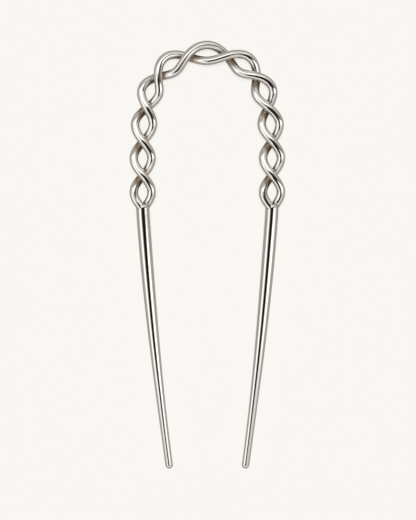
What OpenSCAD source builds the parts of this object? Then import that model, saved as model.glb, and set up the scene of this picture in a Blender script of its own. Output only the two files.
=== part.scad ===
// A two-pronged hair fork in polished silver-toned metal. Two wires are twisted round each other
// over the arch and down both legs, with an open eye between each two crossings. Each end of the
// twist runs into a plain round prong that tapers to a ball tip. The whole fork is one piece of metal.
// It lies flat: X across, Y from the tips to the arch, Z up. All sizes are in millimetres.

/* [Twist] */
// Radius of each of the two wires
wire_r = 1.19; // [1.1:0.01:1.3]
// How far a wire swings to either side of the mid-line
swing = 2.49; // [2.3:0.01:2.8]
// The same swing at the apex, where the twist is slimmer
apex_swing = 2.22; // [2:0.01:2.5]
// How far a wire swings to the front and the back, under its radius so that the crossings fuse
depth = 1.08; // [0.8:0.01:1.09]
// How far in front of the mid-line both wires are where they are widest apart, as a share of depth
bulge = 0.35; // [0:0.05:0.5]
// How much straighter than a sine a wire's way from the front to the back is
straightness = 0.4; // [0:0.05:0.5]
// Spacing of the crossings along a leg
crossing_gap = 9.5; // [9:0.1:10]

/* [Arch] */
// Radius of the bend over the apex
apex_bend_r = 18; // [16:0.5:20]
// Angle that this bend turns through on each side
apex_bend_deg = 35.4; // [30:0.2:40]
// Radius of the shoulder bends
shoulder_bend_r = 14.8; // [13:0.1:17]
// Angle that a shoulder bend turns through
shoulder_bend_deg = 40.4; // [35:0.2:45]
// Radius of the slow curve from a shoulder into its leg
flank_r = 62; // [50:1:80]

/* [Prongs] */
// Length of a prong from its root to its tip
prong_len = 73.6; // [50:0.1:90]
// Radius of a prong at its root
root_r = 1.85; // [1.8:0.01:2.2]
// Radius of a prong at its tip
tip_r = 1.05; // [0.8:0.01:1.3]
// Angle that the leg turns inwards at the root
root_bend_deg = 4.1; // [0:0.1:5]
// Radius of the slow inward bow of a prong
prong_bow_r = 1080; // [700:10:4000]

/* [Hidden] */

metal_colour = [0.80, 0.79, 0.77];
sides = 12;
rings_a_gap = 12;
prong_rings = 16;
cap_rings = 3;

// Distances along the mid-line from the apex to the crossings of one side. Those over the arch are
// given one by one, and those down the leg follow with an even spacing.
arch_crossings = [5.7, 15.8, 25.1];
leg_crossings = 3;
crossings_a_side = len(arch_crossings) + leg_crossings;
last_arch_crossing = arch_crossings[len(arch_crossings) - 1];
crossing_at = [
    each arch_crossings,
    for (i = [1 : leg_crossings]) last_arch_crossing + i * crossing_gap
];
twist_end = crossing_at[crossings_a_side - 1];
last_turn = crossings_a_side - 0.5;

// A prong reaches its full radius this far above the last crossing, under a low dome
root_rise = 0.4;
root_at = twist_end - root_rise;
dome_h = 1.4;
// The last crossing is this deep, so that the wires end inside the prong
end_depth = 0.62;
end_reach = 0.9;
// The slimmer swing fades within this many crossings of the apex
apex_reach = 0.7;

// Half of the mid-line, from the apex down: one row a stretch, with its length and its turn inwards
LEN = 0;
TURN = 1;
leg_straight = 15;
root_bend_len = 4.2;
function arc_len(r, deg) = r * deg * PI / 180;
function arc_deg(r, length) = length / r * 180 / PI;
flank_deg = 90 - apex_bend_deg - shoulder_bend_deg;
midline = [
    [arc_len(apex_bend_r, apex_bend_deg), apex_bend_deg],
    [arc_len(shoulder_bend_r, shoulder_bend_deg), shoulder_bend_deg],
    [arc_len(flank_r, flank_deg), flank_deg],
    [leg_straight, 0],
    [root_bend_len, root_bend_deg],
    [prong_len, arc_deg(prong_bow_r, prong_len)]
];

// Point and heading after a distance on one stretch that starts at a point with a heading.
// The heading is an angle turned clockwise from +X, and comes third in the answer.
function along(row, dist, from) =
    let (heading = from[2], new_heading = heading + row[TURN] * dist / row[LEN])
    row[TURN] == 0
        ? [from.x + dist * cos(heading), from.y - dist * sin(heading), heading]
        : let (r = row[LEN] / (row[TURN] * PI / 180))
          [
              from.x + r * (sin(new_heading) - sin(heading)),
              from.y + r * (cos(new_heading) - cos(heading)),
              new_heading
          ];

// Point and heading on the right half of the mid-line, at a distance from the apex
function right_half(dist, i = 0, from = [0, 0, 0]) =
    dist <= midline[i][LEN] || i == len(midline) - 1
        ? along(midline[i], dist, from)
        : right_half(dist - midline[i][LEN], i + 1, along(midline[i], midline[i][LEN], from));

// The same on the whole mid-line, where distances to the left of the apex are negative
function mid(dist) =
    let (p = right_half(abs(dist)))
    dist < 0 ? [-p.x, p.y, -p[2]] : p;

// Distance along the mid-line after a number of half turns of the twist, counted from the apex.
// Each gap between two crossings is a smooth cubic that keeps the spacing of its neighbours. The
// first gap is the one over the apex, and has the same slope at both of its ends.
crossing_knots = [-crossing_at[0], each crossing_at, twist_end + crossing_gap];
function hermite(t, a, b, slope_a, slope_b) =
    a * (2 * t * t * t - 3 * t * t + 1) + slope_a * (t * t * t - 2 * t * t + t)
    + b * (3 * t * t - 2 * t * t * t) + slope_b * (t * t * t - t * t);
function knot_slope(i) =
    i == 0 ? knot_slope(1) : (crossing_knots[i + 1] - crossing_knots[i - 1]) / 2;
function dist_after(turns) =
    let (
        i = min(floor(abs(turns) + 0.5), crossings_a_side - 1),
        d = hermite(abs(turns) + 0.5 - i, crossing_knots[i], crossing_knots[i + 1],
                    knot_slope(i), knot_slope(i + 1))
    )
    turns < 0 ? -d : d;

// Centre of a wire after a number of half turns; side is 1 for one wire and -1 for the other.
// A wire stays in front a little longer than behind, and dips steeply under its widest point.
function swing_at(turns) = swing - (swing - apex_swing) * exp(-pow(turns / apex_reach, 2));
function depth_at(turns) =
    let (u = max(0, (abs(turns) - last_turn + end_reach) / end_reach))
    depth - (depth - end_depth) * u * u * (3 - 2 * u);
function wire_centre(turns, side) =
    let (
        m = mid(dist_after(turns)),
        outwards = side * swing_at(turns) * cos(180 * turns),
        back = side * sin(180 * turns),
        upwards = depth_at(turns) * ((bulge + straightness * back) * (1 - back * back) - back)
    )
    [m.x + outwards * sin(m[2]), m.y + outwards * cos(m[2]), upwards];

function unit(v) = v / norm(v);

// One ring of points round a centre, square to a direction that isn't vertical
function ring(centre, direction, r) =
    let (t = unit(direction), u = unit([t.y, -t.x, 0]), v = cross(u, t))
    [for (k = [0 : sides - 1]) centre + r * (cos(360 * k / sides) * u + sin(360 * k / sides) * v)];

// All rings of a wire
turn_step = 1 / rings_a_gap;
slope_step = 0.01;
function wire_rings(side) = [
    for (i = [0 : 2 * last_turn * rings_a_gap])
        let (turns = i * turn_step - last_turn)
        ring(wire_centre(turns, side),
             wire_centre(turns + slope_step, side) - wire_centre(turns - slope_step, side),
             wire_r)
];

// Outline of a prong: one row a ring, with its distance from the root and its radius.
// The taper is a slow cosine, steepest past the middle. Both ends are closed by round caps, whose
// last ring stands at cap_deg from their equator and bounds a small flat.
taper_power = 1.1;
cap_deg = 84;
function taper(u) = root_r - (root_r - tip_r) * (1 - cos(180 * pow(u, taper_power))) / 2;
body_len = prong_len - tip_r;
function cap_angle(i) = cap_deg * i / cap_rings;
prong_outline = [
    for (i = [cap_rings : -1 : 1]) [-dome_h * sin(cap_angle(i)), root_r * cos(cap_angle(i))],
    for (i = [0 : prong_rings]) [body_len * i / prong_rings, taper(i / prong_rings)],
    for (i = [1 : cap_rings]) [body_len + tip_r * sin(cap_angle(i)), tip_r * cos(cap_angle(i))]
];

// All rings of a prong; side is 1 for the right one and -1 for the left one
function prong_rings_of(side) = [
    for (row = prong_outline)
        let (m = mid(side * (root_at + row[0])))
        ring([m.x, m.y, 0], side * [cos(m[2]), -sin(m[2]), 0], row[1])
];

// Resting on a table, the fork leans on the last crossing but one of each side and on the tips
lean_at = mid(crossing_at[crossings_a_side - 2]).y - mid(root_at + body_len).y;
lean_deg = atan((depth + wire_r - tip_r) / lean_at);
function leaned(p) = [
    p.x,
    p.y * cos(lean_deg) - p.z * sin(lean_deg),
    p.y * sin(lean_deg) + p.z * cos(lean_deg)
];

// The origin is at the middle of the fork's box, at the height of the table
every_point = [
    for (side = [-1, 1]) each [for (r = wire_rings(side)) each [for (p = r) leaned(p)]],
    for (side = [-1, 1]) each [for (r = prong_rings_of(side)) each [for (p = r) leaned(p)]]
];
function low(axis) = min([for (p = every_point) p[axis]]);
function high(axis) = max([for (p = every_point) p[axis]]);
box_base = [(low(0) + high(0)) / 2, (low(1) + high(1)) / 2, low(2)];

// A closed skin over a row of rings
module skin(rings) {
    last = len(rings) - 1;
    polyhedron(
        points = [for (r = rings) each r],
        faces = [
            [for (k = [sides - 1 : -1 : 0]) k],
            for (i = [0 : last - 1], k = [0 : sides - 1])
                let (a = i * sides, b = a + sides, next = (k + 1) % sides)
                [a + k, a + next, b + next, b + k],
            [for (k = [0 : sides - 1]) last * sides + k]
        ],
        convexity = 10
    );
}

// One of the two wires, from the left root over the arch to the right root
module wire(side) {
    skin(wire_rings(side));
}

// One prong with its dome and its ball tip
module prong(side) {
    skin(prong_rings_of(side));
}

// The whole fork, as it lies
module hair_fork() {
    color(metal_colour)
    translate(-box_base)
    rotate([lean_deg, 0, 0])
    union() {
        wire(1);
        wire(-1);
        prong(1);
        prong(-1);
    }
}

hair_fork();
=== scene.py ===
import math

import bpy
import numpy as np
from bpy.props import FloatProperty, FloatVectorProperty, PointerProperty
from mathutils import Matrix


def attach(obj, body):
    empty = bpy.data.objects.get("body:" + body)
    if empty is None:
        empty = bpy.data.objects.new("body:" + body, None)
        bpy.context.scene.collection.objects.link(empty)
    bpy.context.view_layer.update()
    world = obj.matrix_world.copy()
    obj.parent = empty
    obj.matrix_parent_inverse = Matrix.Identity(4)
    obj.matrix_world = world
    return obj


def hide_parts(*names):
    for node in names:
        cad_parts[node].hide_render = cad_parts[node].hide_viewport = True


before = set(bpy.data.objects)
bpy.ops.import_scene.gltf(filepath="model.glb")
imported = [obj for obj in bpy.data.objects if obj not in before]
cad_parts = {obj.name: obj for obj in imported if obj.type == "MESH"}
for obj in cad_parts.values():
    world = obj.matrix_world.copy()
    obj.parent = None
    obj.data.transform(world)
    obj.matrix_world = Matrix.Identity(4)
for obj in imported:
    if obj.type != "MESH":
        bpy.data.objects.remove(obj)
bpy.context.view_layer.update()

bl_info = {
    "name": "Twisted Hair Fork",
    "version": (1, 0, 0),
    "blender": (4, 5, 0),
    "location": "3D View > Sidebar > Hair Fork",
    "description": "A polished metal hair fork with a twisted wire arch, and the studio it lies in",
    "category": "Add Mesh",
}

NODE = "hair_fork"
MM = 0.001
LENS = 100.0


class ForkSizes(bpy.types.PropertyGroup):
    wire_radius: FloatProperty(
        name="Wire radius", description="Radius of each of the two twisted wires",
        default=1.19 * MM, unit="LENGTH")
    swing: FloatProperty(
        name="Swing", description="How far a wire swings to either side of the mid-line",
        default=2.49 * MM, unit="LENGTH")
    apex_swing: FloatProperty(
        name="Swing at the apex", description="The same swing in the eye at the apex",
        default=2.22 * MM, unit="LENGTH")
    depth: FloatProperty(
        name="Depth", description="How far a wire swings to the front and the back",
        default=1.08 * MM, unit="LENGTH")
    bulge: FloatProperty(
        name="Bulge",
        description="How far in front of the mid-line the wires are where they are widest, as a share "
                    "of the depth",
        default=0.35, subtype="FACTOR", min=0, max=0.5)
    straightness: FloatProperty(
        name="Straightness",
        description="How much straighter than a sine a wire's way to the back is",
        default=0.4, subtype="FACTOR", min=0, max=0.5)
    prong_length: FloatProperty(
        name="Prong length", description="Length of a prong from its root to its tip",
        default=73.6 * MM, unit="LENGTH")
    root_radius: FloatProperty(
        name="Root radius", description="Radius of a prong at its root",
        default=1.85 * MM, unit="LENGTH")
    tip_radius: FloatProperty(
        name="Tip radius", description="Radius of a prong at its tip",
        default=1.05 * MM, unit="LENGTH")
    wire_fillet: FloatProperty(
        name="Fillet at a crossing",
        description="Reach of the metal that fills the crease where wires cross",
        default=0.3 * MM, unit="LENGTH")
    root_fillet: FloatProperty(
        name="Fillet at a root", description="Reach of the metal that blends the wires into a prong",
        default=0.8 * MM, unit="LENGTH")
    mesh_step: FloatProperty(
        name="Mesh step", description="Spacing of the points in the finished mesh",
        default=0.215 * MM, unit="LENGTH")


class ForkFinish(bpy.types.PropertyGroup):
    metal: FloatVectorProperty(
        name="Metal", description="Colour of the polished plating", subtype="COLOR",
        default=(0.86, 0.85, 0.83), min=0, max=1)
    # Painted shade: the brown colour that the recesses and creases of the twist are darkened to, in
    # place of the shade under the crossings
    recess_shade_colour: FloatVectorProperty(
        name="Tarnish", description="Colour of the brown film left in the recesses", subtype="COLOR",
        default=(0.34, 0.27, 0.21), min=0, max=1)
    gloss: FloatProperty(
        name="Roughness", description="Roughness of the polished open metal",
        default=0.035, subtype="FACTOR", min=0, max=1)


class StudioSettings(bpy.types.PropertyGroup):
    table: FloatVectorProperty(
        name="Table", description="Colour of the pale table as the camera sees it", subtype="COLOR",
        default=(0.947, 0.930, 0.896), min=0, max=1)
    # Painted shade: the dim copy of the table that only the metal's reflections see
    table_low: FloatVectorProperty(
        name="Table in the metal", description="Colour of the dim table around, as the metal mirrors it",
        subtype="COLOR", default=(0.40, 0.365, 0.32), min=0, max=1)
    from_below: FloatProperty(
        name="Lit from below",
        description="Share of the table's light that comes up through it, which softens shadows",
        default=0.8, subtype="FACTOR", min=0, max=1)
    ambient: FloatProperty(
        name="Ambient", description="Share of the table's light that comes from all round",
        default=0.2, subtype="FACTOR", min=0, max=1)
    lens: FloatProperty(
        name="Lens", description="Focal length of the camera in millimetres",
        default=LENS, min=20, max=300)


# Distances along the mid-line from the apex to the crossings of one side
CROSSINGS = np.array([5.7, 15.8, 25.1, 34.6, 44.1, 53.6]) * MM
LAST_TURN = len(CROSSINGS) - 0.5
ROOT = CROSSINGS[-1] - 0.4 * MM
DOME_HEIGHT = 1.4 * MM
END_DEPTH = 0.62 * MM
END_REACH = 0.9
APEX_REACH = 0.7
TAPER_POWER = 1.1

# Half of the mid-line, from the apex down: one row a stretch, with its radius and its turn in degrees
BENDS = [(18 * MM, 35.4), (14.8 * MM, 40.4), (62 * MM, 14.2)]
LEG_STRAIGHT = 15 * MM
ROOT_BEND = (4.2 * MM, 4.1)
PRONG_BOW = 1080 * MM

# Rings along a wire and along a prong's taper, sides round both, and rings of a prong's two ends,
# which stop at an angle just short of their pole
WIRE_RINGS, PRONG_RINGS, TUBE_SIDES, CAP_RINGS = 900, 260, 40, 12
CAP_ANGLE = math.radians(88)
# Places on a wire and on a prong among which each point of the skin finds its nearest, and the
# number of points in a block of that search
WIRE_SAMPLES, PRONG_SAMPLES = 3000, 1500
BLOCK = 4000
# Steps from there to the very nearest place, the half turns over which a slope is measured, and how
# far above its root a prong is followed
NEWTON_STEPS, SLOPE_STEP = 3, 1e-4
PRONG_REACH = 5 * MM
# Times that the skin's points are moved onto the fused surface
PROJECTIONS = 6
# Gaps to the next shape within which the painted shade of a recess is full, also on the side of a
# crossing towards the tips, and beyond which there is none
SHADE_GAP_NEAR = 0.1 * MM
SHADE_GAP_NEAR_BELOW = 1.4 * MM
SHADE_GAP_FAR = 3.3 * MM
# How squarely a recess faces the next shape where it starts, and from there to where it is full. On
# the side towards the tips it starts earlier, and elsewhere it is this deep
FACING_START, FACING_RANGE = 0.15, 0.5
EARLIER_BELOW = 0.25
DEPTH_ABOVE = 0.6

# How far the edge of the painted shade in the recesses wanders, and how much rougher the metal is under
# that shade
SHADE_EDGE_WANDER = 0.18
SHADE_ROUGHNESS = 0.16

# Polishing marks between these two values bring the roughness from its first share to its second
MARKS_RANGE = (0.35, 0.7)
GLOSS_SHARES = (0.7, 1.4)
# Heights of the slow unevenness and of the marks
SLOW_HEIGHT, MARK_HEIGHT = 0.012 * MM, 0.0006 * MM

# The camera looks straight down from a height that puts one pixel of the picture at 0.28 mm on the
# fork. Its shift from the fork's middle is in pixels, to the right and up
PIXEL = 0.28 * MM
PICTURE_HEIGHT = 520
SENSOR = 36
FORK_MIDDLE = 2.2 * MM
CAMERA_SHIFT = (0.65, -4.8)
CAMERA_HEIGHT = PICTURE_HEIGHT * PIXEL * LENS / SENSOR + FORK_MIDDLE
CLIP_START = 0.01
TABLE_SIZE = 6.0
SUN_SPREAD = math.radians(20)


def unit(vectors):
    return vectors / np.linalg.norm(vectors, axis=1, keepdims=True)


def stretches():
    """Rows of start distance, length, start heading and bend in radians per metre, one a stretch."""
    rows = [(radius * math.radians(turn), 1 / radius) for radius, turn in BENDS]
    rows.append((LEG_STRAIGHT, 0.0))
    rows.append((ROOT_BEND[0], math.radians(ROOT_BEND[1]) / ROOT_BEND[0]))
    rows.append((math.inf, 1 / PRONG_BOW))
    table, start, heading = [], 0.0, 0.0
    for length, bend in rows:
        table.append((start, length, heading, bend))
        start += length
        heading += length * bend if bend else 0.0
    return table


STRETCHES = stretches()


def midline(distance):
    """Point and heading on the flat mid-line at signed distances from the apex.

    Each stretch adds a straight step or the chord of an arc: the change in the heading's sine and
    cosine, over the bend. The heading is turned clockwise from +X. The left half mirrors the right.
    """
    along = np.abs(distance)
    x, y, heading = np.zeros_like(along), np.zeros_like(along), np.zeros_like(along)
    for start, length, turned, bend in STRETCHES:
        step = np.clip(along - start, 0, length)
        if bend:
            x += (np.sin(turned + bend * step) - math.sin(turned)) / bend
            y += (np.cos(turned + bend * step) - math.cos(turned)) / bend
        else:
            x += step * math.cos(turned)
            y -= step * math.sin(turned)
        heading += bend * step
    side = np.where(distance < 0, -1.0, 1.0)
    return side * x, y, side * heading


def distance_after(turns):
    """Distance along the mid-line after a number of half turns of the twist, counted from the apex.

    Between two crossings it is a cubic that keeps the mean spacing of its neighbours at each end.
    """
    knots = np.concatenate([[-CROSSINGS[0]], CROSSINGS, [2 * CROSSINGS[-1] - CROSSINGS[-2]]])
    slopes = np.gradient(knots)
    slopes[0] = slopes[1] = (knots[2] - knots[0]) / 2
    i = np.minimum((np.abs(turns) + 0.5).astype(int), len(CROSSINGS) - 1)
    t = np.abs(turns) + 0.5 - i
    cubic = (knots[i] * (2 * t ** 3 - 3 * t ** 2 + 1) + slopes[i] * (t ** 3 - 2 * t ** 2 + t)
             + knots[i + 1] * (3 * t ** 2 - 2 * t ** 3) + slopes[i + 1] * (t ** 3 - t ** 2))
    return np.sign(turns) * cubic


def smooth(u):
    """0 below 0, 1 above 1, and the smooth cubic 3u2 - 2u3 between."""
    u = np.clip(u, 0, 1)
    return u * u * (3 - 2 * u)


def wire_centre(turns, side, sizes):
    """Centre of a wire: the mid-line plus a cosine swing outwards, and a sine s that takes it back.

    Its height is depth times (bulge + straightness s)(1 - s2) - s, so that it stays in front a
    little longer than behind and dips steeply under its widest point."""
    x, y, heading = midline(distance_after(turns))
    swing = sizes.swing - (sizes.swing - sizes.apex_swing) * np.exp(-(turns / APEX_REACH) ** 2)
    near_end = smooth((np.abs(turns) - LAST_TURN + END_REACH) / END_REACH)
    depth = sizes.depth - (sizes.depth - END_DEPTH) * near_end
    out = side * swing * np.cos(math.pi * turns)
    back = side * np.sin(math.pi * turns)
    up = depth * ((sizes.bulge + sizes.straightness * back) * (1 - back ** 2) - back)
    return np.stack([x + out * np.sin(heading), y + out * np.cos(heading), up], axis=1)


def prong_centre(down, side):
    """Centre and direction of a prong at distances down from its root."""
    x, y, heading = midline(side * (ROOT + down))
    flat = np.zeros_like(x)
    return (np.stack([x, y, flat], axis=1),
            np.stack([side * np.cos(heading), -side * np.sin(heading), flat], axis=1))


def prong_radius(down, sizes):
    """A slow cosine taper from the root's radius to the tip's, steepest past the middle."""
    share = np.clip(down / (sizes.prong_length - sizes.tip_radius), 0, 1)
    taper = (1 - np.cos(math.pi * share ** TAPER_POWER)) / 2
    return sizes.root_radius - (sizes.root_radius - sizes.tip_radius) * taper


def tube(centres, radii, sides=TUBE_SIDES):
    """A circle carried along a path: centre + radius (cos a times u + sin a times v), closed by a
    point at each end. u is level, and v is square to u and to the path."""
    path = unit(np.gradient(centres, axis=0))
    u = unit(np.stack([path[:, 1], -path[:, 0], np.zeros(len(path))], axis=1))
    v = np.cross(u, path)
    angle = np.linspace(0, 2 * math.pi, sides, endpoint=False)[None, :, None]
    circle = np.cos(angle) * u[:, None] + np.sin(angle) * v[:, None]
    skin = centres[:, None] + radii[:, None, None] * circle
    points = np.concatenate([skin.reshape(-1, 3), centres[:1], centres[-1:]])
    ring, k = np.meshgrid(np.arange(len(centres) - 1), np.arange(sides), indexing="ij")
    a, b = ring * sides + k, ring * sides + (k + 1) % sides
    quads = np.stack([a, b, b + sides, a + sides], axis=-1).reshape(-1, 4)
    k = np.arange(sides)
    first, last = len(points) - 2, len(points) - 1
    base = (len(centres) - 1) * sides
    start = np.stack([(k + 1) % sides, k, np.full(sides, first)], axis=1)
    end = np.stack([base + k, base + (k + 1) % sides, np.full(sides, last)], axis=1)
    return points, [*quads.tolist(), *start.tolist(), *end.tolist()]


def wire_tube(side, sizes):
    turns = np.linspace(-LAST_TURN, LAST_TURN, WIRE_RINGS)
    return tube(wire_centre(turns, side, sizes), np.full(len(turns), sizes.wire_radius))


def prong_tube(side, sizes):
    """The taper between a low elliptical dome and a round tip."""
    body = sizes.prong_length - sizes.tip_radius
    quarter = np.linspace(0, CAP_ANGLE, CAP_RINGS)
    between = np.linspace(0, body, PRONG_RINGS)[1:-1]
    down = np.concatenate([-DOME_HEIGHT * np.sin(quarter[::-1]), between,
                           body + sizes.tip_radius * np.sin(quarter)])
    radii = np.concatenate([sizes.root_radius * np.cos(quarter[::-1]), prong_radius(between, sizes),
                            sizes.tip_radius * np.cos(quarter)])
    return tube(prong_centre(down, side)[0], radii)


def joined(parts):
    """One list of points and faces from several."""
    points, faces, count = [], [], 0
    for part_points, part_faces in parts:
        points.append(part_points)
        faces.extend([[i + count for i in face] for face in part_faces])
        count += len(part_points)
    return np.concatenate(points), faces


def voxel_skin(points, faces, step):
    """The even skin of overlapping closed tubes, as points and faces, made by the voxel remesher.

    It works in millimetres, because the remesher's smallest voxel is a tenth of one in metres."""
    mesh = bpy.data.meshes.new("tubes")
    mesh.from_pydata((points / MM).tolist(), [], faces)
    tubes = bpy.data.objects.new("tubes", mesh)
    bpy.context.scene.collection.objects.link(tubes)
    remesh = tubes.modifiers.new("Remesh", "REMESH")
    remesh.mode = "VOXEL"
    remesh.voxel_size = step / MM
    fused = bpy.data.meshes.new_from_object(tubes.evaluated_get(bpy.context.evaluated_depsgraph_get()))
    bpy.data.objects.remove(tubes)
    bpy.data.meshes.remove(mesh)
    fused.name = NODE + "_metal"
    return fused


def nearest(points, samples):
    """Index of the sample nearest to each point: the least of s.s - 2 p.s, block by block."""
    square = (samples ** 2).sum(1)
    blocks = np.array_split(points, len(points) // BLOCK + 1)
    return np.concatenate([np.argmin(square - 2 * block @ samples.T, axis=1) for block in blocks])


class Skin:
    """Gap and normal of the fused metal, for points that stay near where they began."""

    def __init__(self, points, sizes):
        self.sizes = sizes
        grid = np.linspace(-LAST_TURN, LAST_TURN, WIRE_SAMPLES)
        self.turns = {side: grid[nearest(points, wire_centre(grid, side, sizes))] for side in (1, -1)}
        body = sizes.prong_length - sizes.tip_radius
        grid = np.linspace(-DOME_HEIGHT, body, PRONG_SAMPLES)
        self.side = np.where(points[:, 0] < 0, -1.0, 1.0)
        mirrored = points * np.stack([self.side, np.ones(len(points)), np.ones(len(points))], axis=1)
        self.down = grid[nearest(mirrored, prong_centre(grid, 1)[0])]

    def wire(self, points, side):
        """A round wire: distance from its centre line, less its radius. The nearest turn is found by
        Newton's steps along the tangent."""
        turns = self.turns[side]
        for _ in range(NEWTON_STEPS):
            ahead, behind = (wire_centre(turns + s, side, self.sizes) for s in (SLOPE_STEP, -SLOPE_STEP))
            tangent = (ahead - behind) / (2 * SLOPE_STEP)
            off = points - (ahead + behind) / 2
            turns = turns + (off * tangent).sum(1) / (tangent ** 2).sum(1)
            turns = np.clip(turns, -LAST_TURN, LAST_TURN)
        self.turns[side] = turns
        off = points - wire_centre(turns, side, self.sizes)
        far = np.linalg.norm(off, axis=1)
        return far - self.sizes.wire_radius, off / far[:, None]

    def prong(self, points):
        """A tapered round prong. Above its root the distance along it is stretched, which makes the
        dome an ellipse, and past the end of its taper it stays a ball."""
        body = self.sizes.prong_length - self.sizes.tip_radius
        down = self.down
        for _ in range(NEWTON_STEPS):
            centre, along = prong_centre(down, self.side)
            down = np.clip(down + ((points - centre) * along).sum(1), -PRONG_REACH, body)
        self.down = down
        above = np.maximum(-down, 0)
        centre, along = prong_centre(np.maximum(down, 0), self.side)
        off = points - centre
        level = (off * along).sum(1)
        stretch = np.where(above > 0, self.sizes.root_radius / DOME_HEIGHT, 1.0)
        off = off + along * (level * (stretch - 1))[:, None]
        far = np.linalg.norm(off, axis=1)
        normal = unit(off + along * (level * stretch * (stretch - 1))[:, None])
        return far - prong_radius(down, self.sizes), normal

    def fused(self, points):
        """Gap and normal of the fused metal, how far each fillet covers, and the three plain shapes."""
        shapes = [self.wire(points, 1), self.wire(points, -1), self.prong(points)]
        *twist, crossing = fuse(shapes[0], shapes[1], self.sizes.wire_fillet)
        gap, normal, root = fuse(twist, shapes[2], self.sizes.root_fillet)
        return gap, normal, np.maximum(crossing, root), shapes


def fuse(first, second, reach):
    """Two shapes made one with a fillet: the lesser gap, less a quarter of the reach where both are
    equal. The reach fades where the surfaces run alike, so that only creases are filled."""
    (gap_a, normal_a), (gap_b, normal_b) = first, second
    reach = reach * np.clip(1 - (normal_a * normal_b).sum(1), 1e-3, 1)
    overlap = np.clip(1 - np.abs(gap_a - gap_b) / reach, 0, 1)
    share = np.where(gap_b < gap_a, 1 - overlap / 2, overlap / 2)[:, None]
    gap = np.minimum(gap_a, gap_b) - overlap ** 2 * reach / 4
    return gap, unit(normal_a * (1 - share) + normal_b * share), overlap


def recess(normal, shapes):
    """How deep a point lies in a recess, for the painted shade that the material lays there: 1 where it
    faces another shape close by, 0 in the open. It is wider and deeper on the side of a crossing that
    looks towards the tips."""
    deep = np.zeros(len(normal))
    for gap, away in shapes:
        below = smooth(0.5 - away[:, 1])
        near = SHADE_GAP_NEAR * (1 - below) + SHADE_GAP_NEAR_BELOW * below
        close = 1 - smooth((gap - near) / (SHADE_GAP_FAR - near))
        facing = -(normal * away).sum(1) + EARLIER_BELOW * below
        deep = np.maximum(deep, close * smooth((facing - FACING_START) / FACING_RANGE)
                          * (DEPTH_ABOVE + (1 - DEPTH_ABOVE) * below))
    return deep


def lean_angle(sizes):
    """The lean of a fork that rests on its tips and on the last crossing but one of each side."""
    body = sizes.prong_length - sizes.tip_radius
    high = midline(CROSSINGS[-2:-1])[1][0]
    low = midline(np.array([ROOT + body]))[1][0]
    return math.atan((sizes.depth + sizes.wire_radius - sizes.tip_radius) / (high - low))


def fork_mesh(sizes):
    """The whole fork: voxel skin of the four tubes, each point then moved onto the fused surface
    along its normal, and the lot laid on the table."""
    parts = [wire_tube(side, sizes) for side in (1, -1)] + [prong_tube(side, sizes) for side in (1, -1)]
    mesh = voxel_skin(*joined(parts), sizes.mesh_step)
    points = np.empty(len(mesh.vertices) * 3)
    mesh.vertices.foreach_get("co", points)
    points = points.reshape(-1, 3) * MM
    skin = Skin(points, sizes)
    for _ in range(PROJECTIONS):
        gap, normal, _, _ = skin.fused(points)
        points = points - gap[:, None] * normal
    gap, normal, crease, shapes = skin.fused(points)
    deep = recess(normal, shapes)
    lean = lean_angle(sizes)
    turn = np.array([[1, 0, 0],
                     [0, math.cos(lean), -math.sin(lean)],
                     [0, math.sin(lean), math.cos(lean)]])
    points, normal = points @ turn.T, normal @ turn.T
    low, high = points.min(0), points.max(0)
    points -= [(low[0] + high[0]) / 2, (low[1] + high[1]) / 2, low[2]]
    mesh.vertices.foreach_set("co", points.ravel())
    mesh.update()
    mesh.shade_smooth()
    mesh.normals_split_custom_set_from_vertices(normal)
    # The crease and recess masks go to the material, which paints shade with them
    for name, values in (("crease", crease), ("recess", deep)):
        mesh.attributes.new(name, "FLOAT", "POINT").data.foreach_set("value", values)
    print("fork:", len(mesh.polygons), "faces; gap left in mm:", round(np.abs(gap).max() / MM, 4))
    return mesh


def link(tree, *pairs):
    for output, target in pairs:
        tree.links.new(output, target)


def node(tree, kind, **values):
    """A new shader node with its settings, and its sockets' values by name."""
    made = tree.nodes.new(kind)
    for name, value in values.items():
        if hasattr(made, name):
            setattr(made, name, value)
        else:
            made.inputs[name.replace("_", " ")].default_value = value
    return made


def colour(rgb):
    return (*rgb, 1.0)


def blank_material(name):
    material = bpy.data.materials.new(name)
    material.use_nodes = True
    material.node_tree.nodes.clear()
    return material, material.node_tree


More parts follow.
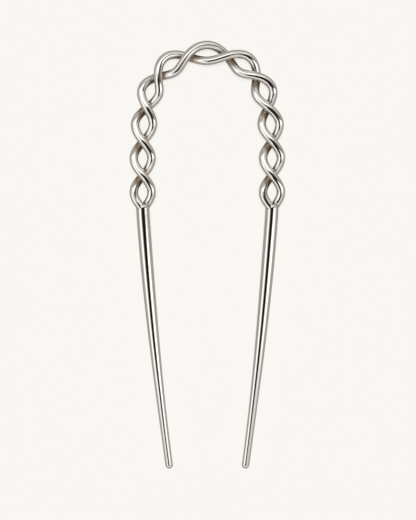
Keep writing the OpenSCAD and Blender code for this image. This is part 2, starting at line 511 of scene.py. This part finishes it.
def plating(finish):
    """Polished silver-toned plating. Fine polishing marks and a slow unevenness change its roughness
    and tilt it by a fraction of a degree, and painted shade darkens the recesses and creases of the
    twist to brown."""
    material, tree = blank_material("polished_plating")
    place = node(tree, "ShaderNodeTexCoord")
    marks = node(tree, "ShaderNodeTexNoise", Scale=2600.0, Detail=4.0, Roughness=0.65)
    slow = node(tree, "ShaderNodeTexNoise", Scale=420.0, Detail=2.0, Roughness=0.5)
    patchy = node(tree, "ShaderNodeTexNoise", Scale=1500.0, Detail=5.0, Roughness=0.7)
    for texture in (marks, slow, patchy):
        link(tree, (place.outputs["Object"], texture.inputs["Vector"]))

    # Painted shade: the recess and crease masks, with an edge that wanders, darken the metal towards the
    # brown shade colour and make it rougher there
    deep = node(tree, "ShaderNodeAttribute", attribute_name="recess")
    crease = node(tree, "ShaderNodeAttribute", attribute_name="crease")
    edge = node(tree, "ShaderNodeMapRange", From_Min=0.0, From_Max=1.0,
                To_Min=-SHADE_EDGE_WANDER, To_Max=SHADE_EDGE_WANDER)
    painted_shade = node(tree, "ShaderNodeMath", operation="ADD")
    painted_shade.use_clamp = True
    shade_mask = node(tree, "ShaderNodeMath", operation="MULTIPLY")
    shade_mask.use_clamp = True
    most = node(tree, "ShaderNodeMath", operation="MAXIMUM")
    link(tree, (deep.outputs["Fac"], most.inputs[0]), (crease.outputs["Fac"], most.inputs[1]),
         (patchy.outputs["Fac"], edge.inputs["Value"]), (most.outputs[0], painted_shade.inputs[0]),
         (edge.outputs["Result"], painted_shade.inputs[1]), (painted_shade.outputs[0], shade_mask.inputs[0]),
         (most.outputs[0], shade_mask.inputs[1]))

    tint = node(tree, "ShaderNodeMix", data_type="RGBA")
    tint.inputs["A"].default_value = colour(finish.metal)
    tint.inputs["B"].default_value = colour(finish.recess_shade_colour)
    gloss = node(tree, "ShaderNodeMapRange", From_Min=MARKS_RANGE[0], From_Max=MARKS_RANGE[1],
                 To_Min=finish.gloss * GLOSS_SHARES[0], To_Max=finish.gloss * GLOSS_SHARES[1])
    dull = node(tree, "ShaderNodeMath", operation="MULTIPLY_ADD")
    dull.inputs[1].default_value = SHADE_ROUGHNESS
    slow_tilt = node(tree, "ShaderNodeBump", Strength=1.0, Distance=SLOW_HEIGHT)
    mark_tilt = node(tree, "ShaderNodeBump", Strength=1.0, Distance=MARK_HEIGHT)
    metal = node(tree, "ShaderNodeBsdfPrincipled", Metallic=1.0)
    out = node(tree, "ShaderNodeOutputMaterial")
    link(tree, (shade_mask.outputs[0], tint.inputs["Factor"]), (marks.outputs["Fac"], gloss.inputs["Value"]),
         (shade_mask.outputs[0], dull.inputs[0]), (gloss.outputs["Result"], dull.inputs[2]),
         (slow.outputs["Fac"], slow_tilt.inputs["Height"]),
         (marks.outputs["Fac"], mark_tilt.inputs["Height"]),
         (slow_tilt.outputs["Normal"], mark_tilt.inputs["Normal"]),
         (tint.outputs["Result"], metal.inputs["Base Color"]),
         (dull.outputs[0], metal.inputs["Roughness"]),
         (mark_tilt.outputs["Normal"], metal.inputs["Normal"]),
         (metal.outputs["BSDF"], out.inputs["Surface"]))
    return material


def table_material(studio):
    """The pale table. To the camera it is off-white; in the metal it is a dimmer copy, painted shade
    that stands for a table lit so brightly only under the fork."""
    material, tree = blank_material("pale_table")
    path = node(tree, "ShaderNodeLightPath")
    pale = node(tree, "ShaderNodeBsdfDiffuse", Color=colour(studio.table))
    lit = node(tree, "ShaderNodeEmission", Color=colour(studio.table), Strength=1.0)
    even = node(tree, "ShaderNodeMixShader", Fac=studio.from_below)
    # Painted shade: glossy rays see this dim copy of the table instead of the pale one
    dim = node(tree, "ShaderNodeBsdfDiffuse", Color=colour(studio.table_low))
    mix = node(tree, "ShaderNodeMixShader")
    out = node(tree, "ShaderNodeOutputMaterial")
    link(tree, (pale.outputs[0], even.inputs[1]), (lit.outputs[0], even.inputs[2]),
         (path.outputs["Is Glossy Ray"], mix.inputs["Fac"]), (even.outputs[0], mix.inputs[1]),
         (dim.outputs[0], mix.inputs[2]), (mix.outputs[0], out.inputs["Surface"]))
    material.cycles.emission_sampling = "NONE"
    return material


def dome_material():
    material, tree = blank_material("studio_light")
    glow = node(tree, "ShaderNodeAttribute", attribute_name="glow")
    light = node(tree, "ShaderNodeEmission", Strength=1.0)
    out = node(tree, "ShaderNodeOutputMaterial")
    link(tree, (glow.outputs["Color"], light.inputs["Color"]), (light.outputs[0], out.inputs["Surface"]))
    material.cycles.emission_sampling = "NONE"
    return material


def ramp(value, low, high):
    return smooth((value - low) / (high - low))


def from_segment(x, y, start, end):
    """Distance from a segment, and the share of the way along it."""
    across = np.array(end, float) - np.array(start, float)
    share = np.clip(((x - start[0]) * across[0] + (y - start[1]) * across[1]) / (across @ across), 0, 1)
    return np.hypot(x - start[0] - share * across[0], y - start[1] - share * across[1]), share


def band(x, y, path, soft):
    """Darkness of a bent band, fading to 0 over a soft edge. Each point of its path has a place, a
    half width and a darkness."""
    dark = np.zeros_like(x)
    for start, end in zip(path[:-1], path[1:]):
        gap, share = from_segment(x, y, start[:2], end[:2])
        width, depth = (start[i] + (end[i] - start[i]) * share for i in (2, 3))
        dark = np.maximum(dark, depth * (1 - ramp(gap, width - soft / 2, width + soft)))
    return dark


def oval(x, y, centre, half, soft):
    """1 inside an oval, fading to 0 at its soft rim."""
    out = np.hypot((x - centre[0]) / half[0], (y - centre[1]) / half[1])
    return 1 - ramp(out, 1 - soft, 1 + soft)


WARM_WHITE = np.array([1.01, 1.0, 0.985])
HORIZON = np.array([0.438, 0.396, 0.348])
NO_LIGHT = np.array([0.0075, 0.0055, 0.0045])
# The camera's shade is warm: each colour of what is left of the light gets its own power
WARM_SHADE = np.array([0.93, 1.0, 1.06])

# Brighter and dimmer parts of the white tent: change of light, then centre and half width as seen
# from the table, in degrees from the zenith to the right and up
TENT_PATCHES = [
    (0.60, (46, -3), (17, 12)),
    (0.55, (-2, 28), (26, 9)),
    (0.40, (-54, -6), (20, 16)),
    (0.30, (-40, -46), (22, 14)),
    (0.30, (-14, -34), (12, 4)),
    (0.25, (65, 5), (14, 30)),
    (-0.20, (-62, -42), (20, 10)),
    (-0.30, (-24, 0), (12, 14)),
    (-0.30, (27, -30), (22, 14)),
    (-0.50, (-30, 50), (34, 11)),
    (-0.50, (38, 27), (9, 6)),
    (-0.55, (14, 43), (9, 6)),
]

# The camera and its arm in the same degrees, from the upper right over the zenith to the lower
# left: place, half width and darkness
CAMERA_ARM = [
    (62, 18, 8, 0.76), (34, 16, 11, 0.92), (12, 8, 11.5, 0.96), (-1, -6, 16, 0.98), (-4, -13, 14, 0.95),
    (-6, -19, 13, 0.95), (-8, -23, 12, 0.98), (-12, -26, 8, 0.98), (-22, -32, 6, 0.98),
]
ARM_SOFTNESS = 3
# A flat dark edge below the camera: centre, half width, darkness and softness
CAMERA_EDGE = ((2, -25), (18, 6), 0.98, 0.15)
# The dim front of the camera: centre, where it starts and ends to fade across and up, darkness
CAMERA_FRONT = ((-4, -4), (12, 36), (7, 11), 0.88)
# Light of the white cloth, and where it starts and ends to fade down to the horizon
CLOTH = 0.95
CLOTH_FADE = (45, 86)
PATCH_SOFTNESS = 0.3


def studio_glow(x, y):
    """Light of the studio tent, for places given in degrees from the zenith to the right and up.

    White cloth with brighter and dimmer panels fades into the dim room towards the horizon. The
    camera hangs at the zenith as a dark shape with a flat lower edge and a dim front to either
    side, and its arm runs from there to the upper right."""
    low = ramp(np.hypot(x, y), *CLOTH_FADE)[..., None]
    panels = sum(change * oval(x, y, centre, half, PATCH_SOFTNESS)
                 for change, centre, half in TENT_PATCHES)
    light = (CLOTH + panels)[..., None] * WARM_WHITE * (1 - low) + HORIZON * low
    centre, across, up, dim = CAMERA_FRONT
    front = dim * (1 - ramp(np.abs(x - centre[0]), *across)) * (1 - ramp(np.abs(y - centre[1]), *up))
    centre, half, dark, soft = CAMERA_EDGE
    edge = dark * oval(x, y, centre, half, soft)
    left = (1 - front) * (1 - edge) * (1 - band(x, y, CAMERA_ARM, ARM_SOFTNESS))
    return light * left[..., None] ** WARM_SHADE + NO_LIGHT


def dome_mesh(radius=0.37, rings=188, steps=300, lowest=94.0):
    """Inside of a dome: radius times (sin a cos b, sin a sin b, cos a) on a grid of a and b, where a
    is the angle from the zenith. Each point keeps the studio's light there."""
    a, b = np.meshgrid(np.linspace(lowest / rings, lowest, rings), np.arange(steps) * 360 / steps,
                       indexing="ij")
    angle, turn = np.radians(a), np.radians(b)
    across, up = a * np.cos(turn), a * np.sin(turn)
    points = radius * np.stack([np.sin(angle) * np.cos(turn), np.sin(angle) * np.sin(turn),
                                np.cos(angle)], axis=-1)
    points = np.concatenate([points.reshape(-1, 3), [[0, 0, radius]]])
    zenith = np.zeros(1)
    glow = np.concatenate([studio_glow(across, up).reshape(-1, 3), studio_glow(zenith, zenith)])
    ring, k = np.meshgrid(np.arange(rings - 1), np.arange(steps), indexing="ij")
    first, second = ring * steps + k, ring * steps + (k + 1) % steps
    quads = np.stack([first, second, second + steps, first + steps], axis=-1).reshape(-1, 4)
    k = np.arange(steps)
    cap = np.stack([k, np.full(steps, rings * steps), (k + 1) % steps], axis=1)
    mesh = bpy.data.meshes.new("studio_dome")
    mesh.from_pydata(points.tolist(), [], [*quads.tolist(), *cap.tolist()])
    layer = mesh.attributes.new("glow", "FLOAT_COLOR", "POINT")
    layer.data.foreach_set("color", np.concatenate([glow, np.ones((len(glow), 1))], axis=1).ravel())
    return mesh


def placed(name, data):
    thing = bpy.data.objects.new(name, data)
    bpy.context.scene.collection.objects.link(thing)
    return thing


class HAIRFORK_OT_fork(bpy.types.Operator):
    """Build the whole hair fork in polished metal and let it stand for its CAD node"""
    bl_idname = "hair_fork.build_fork"
    bl_label = "Build Fork"

    def execute(self, context):
        mesh = fork_mesh(context.scene.fork_sizes)
        mesh.materials.clear()
        mesh.materials.append(plating(context.scene.fork_finish))
        fork = placed("fork_metal", mesh)
        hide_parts(NODE)
        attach(fork, "root")
        return {"FINISHED"}


class HAIRFORK_OT_studio(bpy.types.Operator):
    """Lay the pale table, hang the studio's lights and set up the camera over the fork"""
    bl_idname = "hair_fork.build_studio"
    bl_label = "Build Studio"

    def execute(self, context):
        studio = context.scene.fork_studio
        half = TABLE_SIZE / 2
        table = bpy.data.meshes.new("table")
        corners = [(-half, -half, 0), (half, -half, 0), (half, half, 0), (-half, half, 0)]
        table.from_pydata(corners, [], [(0, 1, 2, 3)])
        table.materials.append(table_material(studio))
        dome = dome_mesh()
        dome.materials.append(dome_material())
        tent = placed("studio_dome", dome)
        for ray in ("camera", "diffuse", "transmission", "volume_scatter", "shadow"):
            setattr(tent, "visible_" + ray, False)
        placed("table", table)

        sun = bpy.data.lights.new("overhead", "SUN")
        sun.energy = math.pi * (1 - studio.ambient)
        sun.angle = SUN_SPREAD
        overhead = placed("overhead", sun)
        overhead.visible_glossy = False

        world = bpy.data.worlds.new("studio")
        world.use_nodes = True
        tree = world.node_tree
        tree.nodes.clear()
        path = node(tree, "ShaderNodeLightPath")
        around = node(tree, "ShaderNodeBackground", Color=(1, 1, 1, 1), Strength=studio.ambient)
        behind = node(tree, "ShaderNodeBackground", Color=colour(studio.table), Strength=1.0)
        mix = node(tree, "ShaderNodeMixShader")
        out = node(tree, "ShaderNodeOutputWorld")
        link(tree, (path.outputs["Is Camera Ray"], mix.inputs["Fac"]),
             (around.outputs[0], mix.inputs[1]), (behind.outputs[0], mix.inputs[2]),
             (mix.outputs[0], out.inputs["Surface"]))
        context.scene.world = world
        context.scene.view_settings.view_transform = "Standard"

        lens = bpy.data.cameras.new("camera")
        lens.lens = studio.lens
        lens.clip_start = CLIP_START
        camera = placed("camera", lens)
        camera.location = (*(PIXEL * shift for shift in CAMERA_SHIFT), CAMERA_HEIGHT)
        context.scene.camera = camera
        return {"FINISHED"}


class HAIRFORK_PT_panel(bpy.types.Panel):
    bl_label = "Hair Fork"
    bl_idname = "HAIRFORK_PT_panel"
    bl_space_type = "VIEW_3D"
    bl_region_type = "UI"
    bl_category = "Hair Fork"

    def draw(self, context):
        titles = {"fork_sizes": "Sizes", "fork_finish": "Finish", "fork_studio": "Studio"}
        for group, title in titles.items():
            box = self.layout.box()
            box.label(text=title)
            values = getattr(context.scene, group)
            for name in values.bl_rna.properties.keys():
                if name not in ("rna_type", "name"):
                    box.prop(values, name)
        for operator in (HAIRFORK_OT_fork, HAIRFORK_OT_studio):
            self.layout.operator(operator.bl_idname)


GROUPS = {"fork_sizes": ForkSizes, "fork_finish": ForkFinish, "fork_studio": StudioSettings}
CLASSES = (*GROUPS.values(), HAIRFORK_OT_fork, HAIRFORK_OT_studio, HAIRFORK_PT_panel)


def register():
    for cls in CLASSES:
        bpy.utils.register_class(cls)
    for name, group in GROUPS.items():
        setattr(bpy.types.Scene, name, PointerProperty(type=group))


def unregister():
    for name in GROUPS:
        delattr(bpy.types.Scene, name)
    for cls in reversed(CLASSES):
        bpy.utils.unregister_class(cls)


def main():
    register()
    bpy.ops.hair_fork.build_fork()
    bpy.ops.hair_fork.build_studio()


if __name__ == "__main__":
    main()
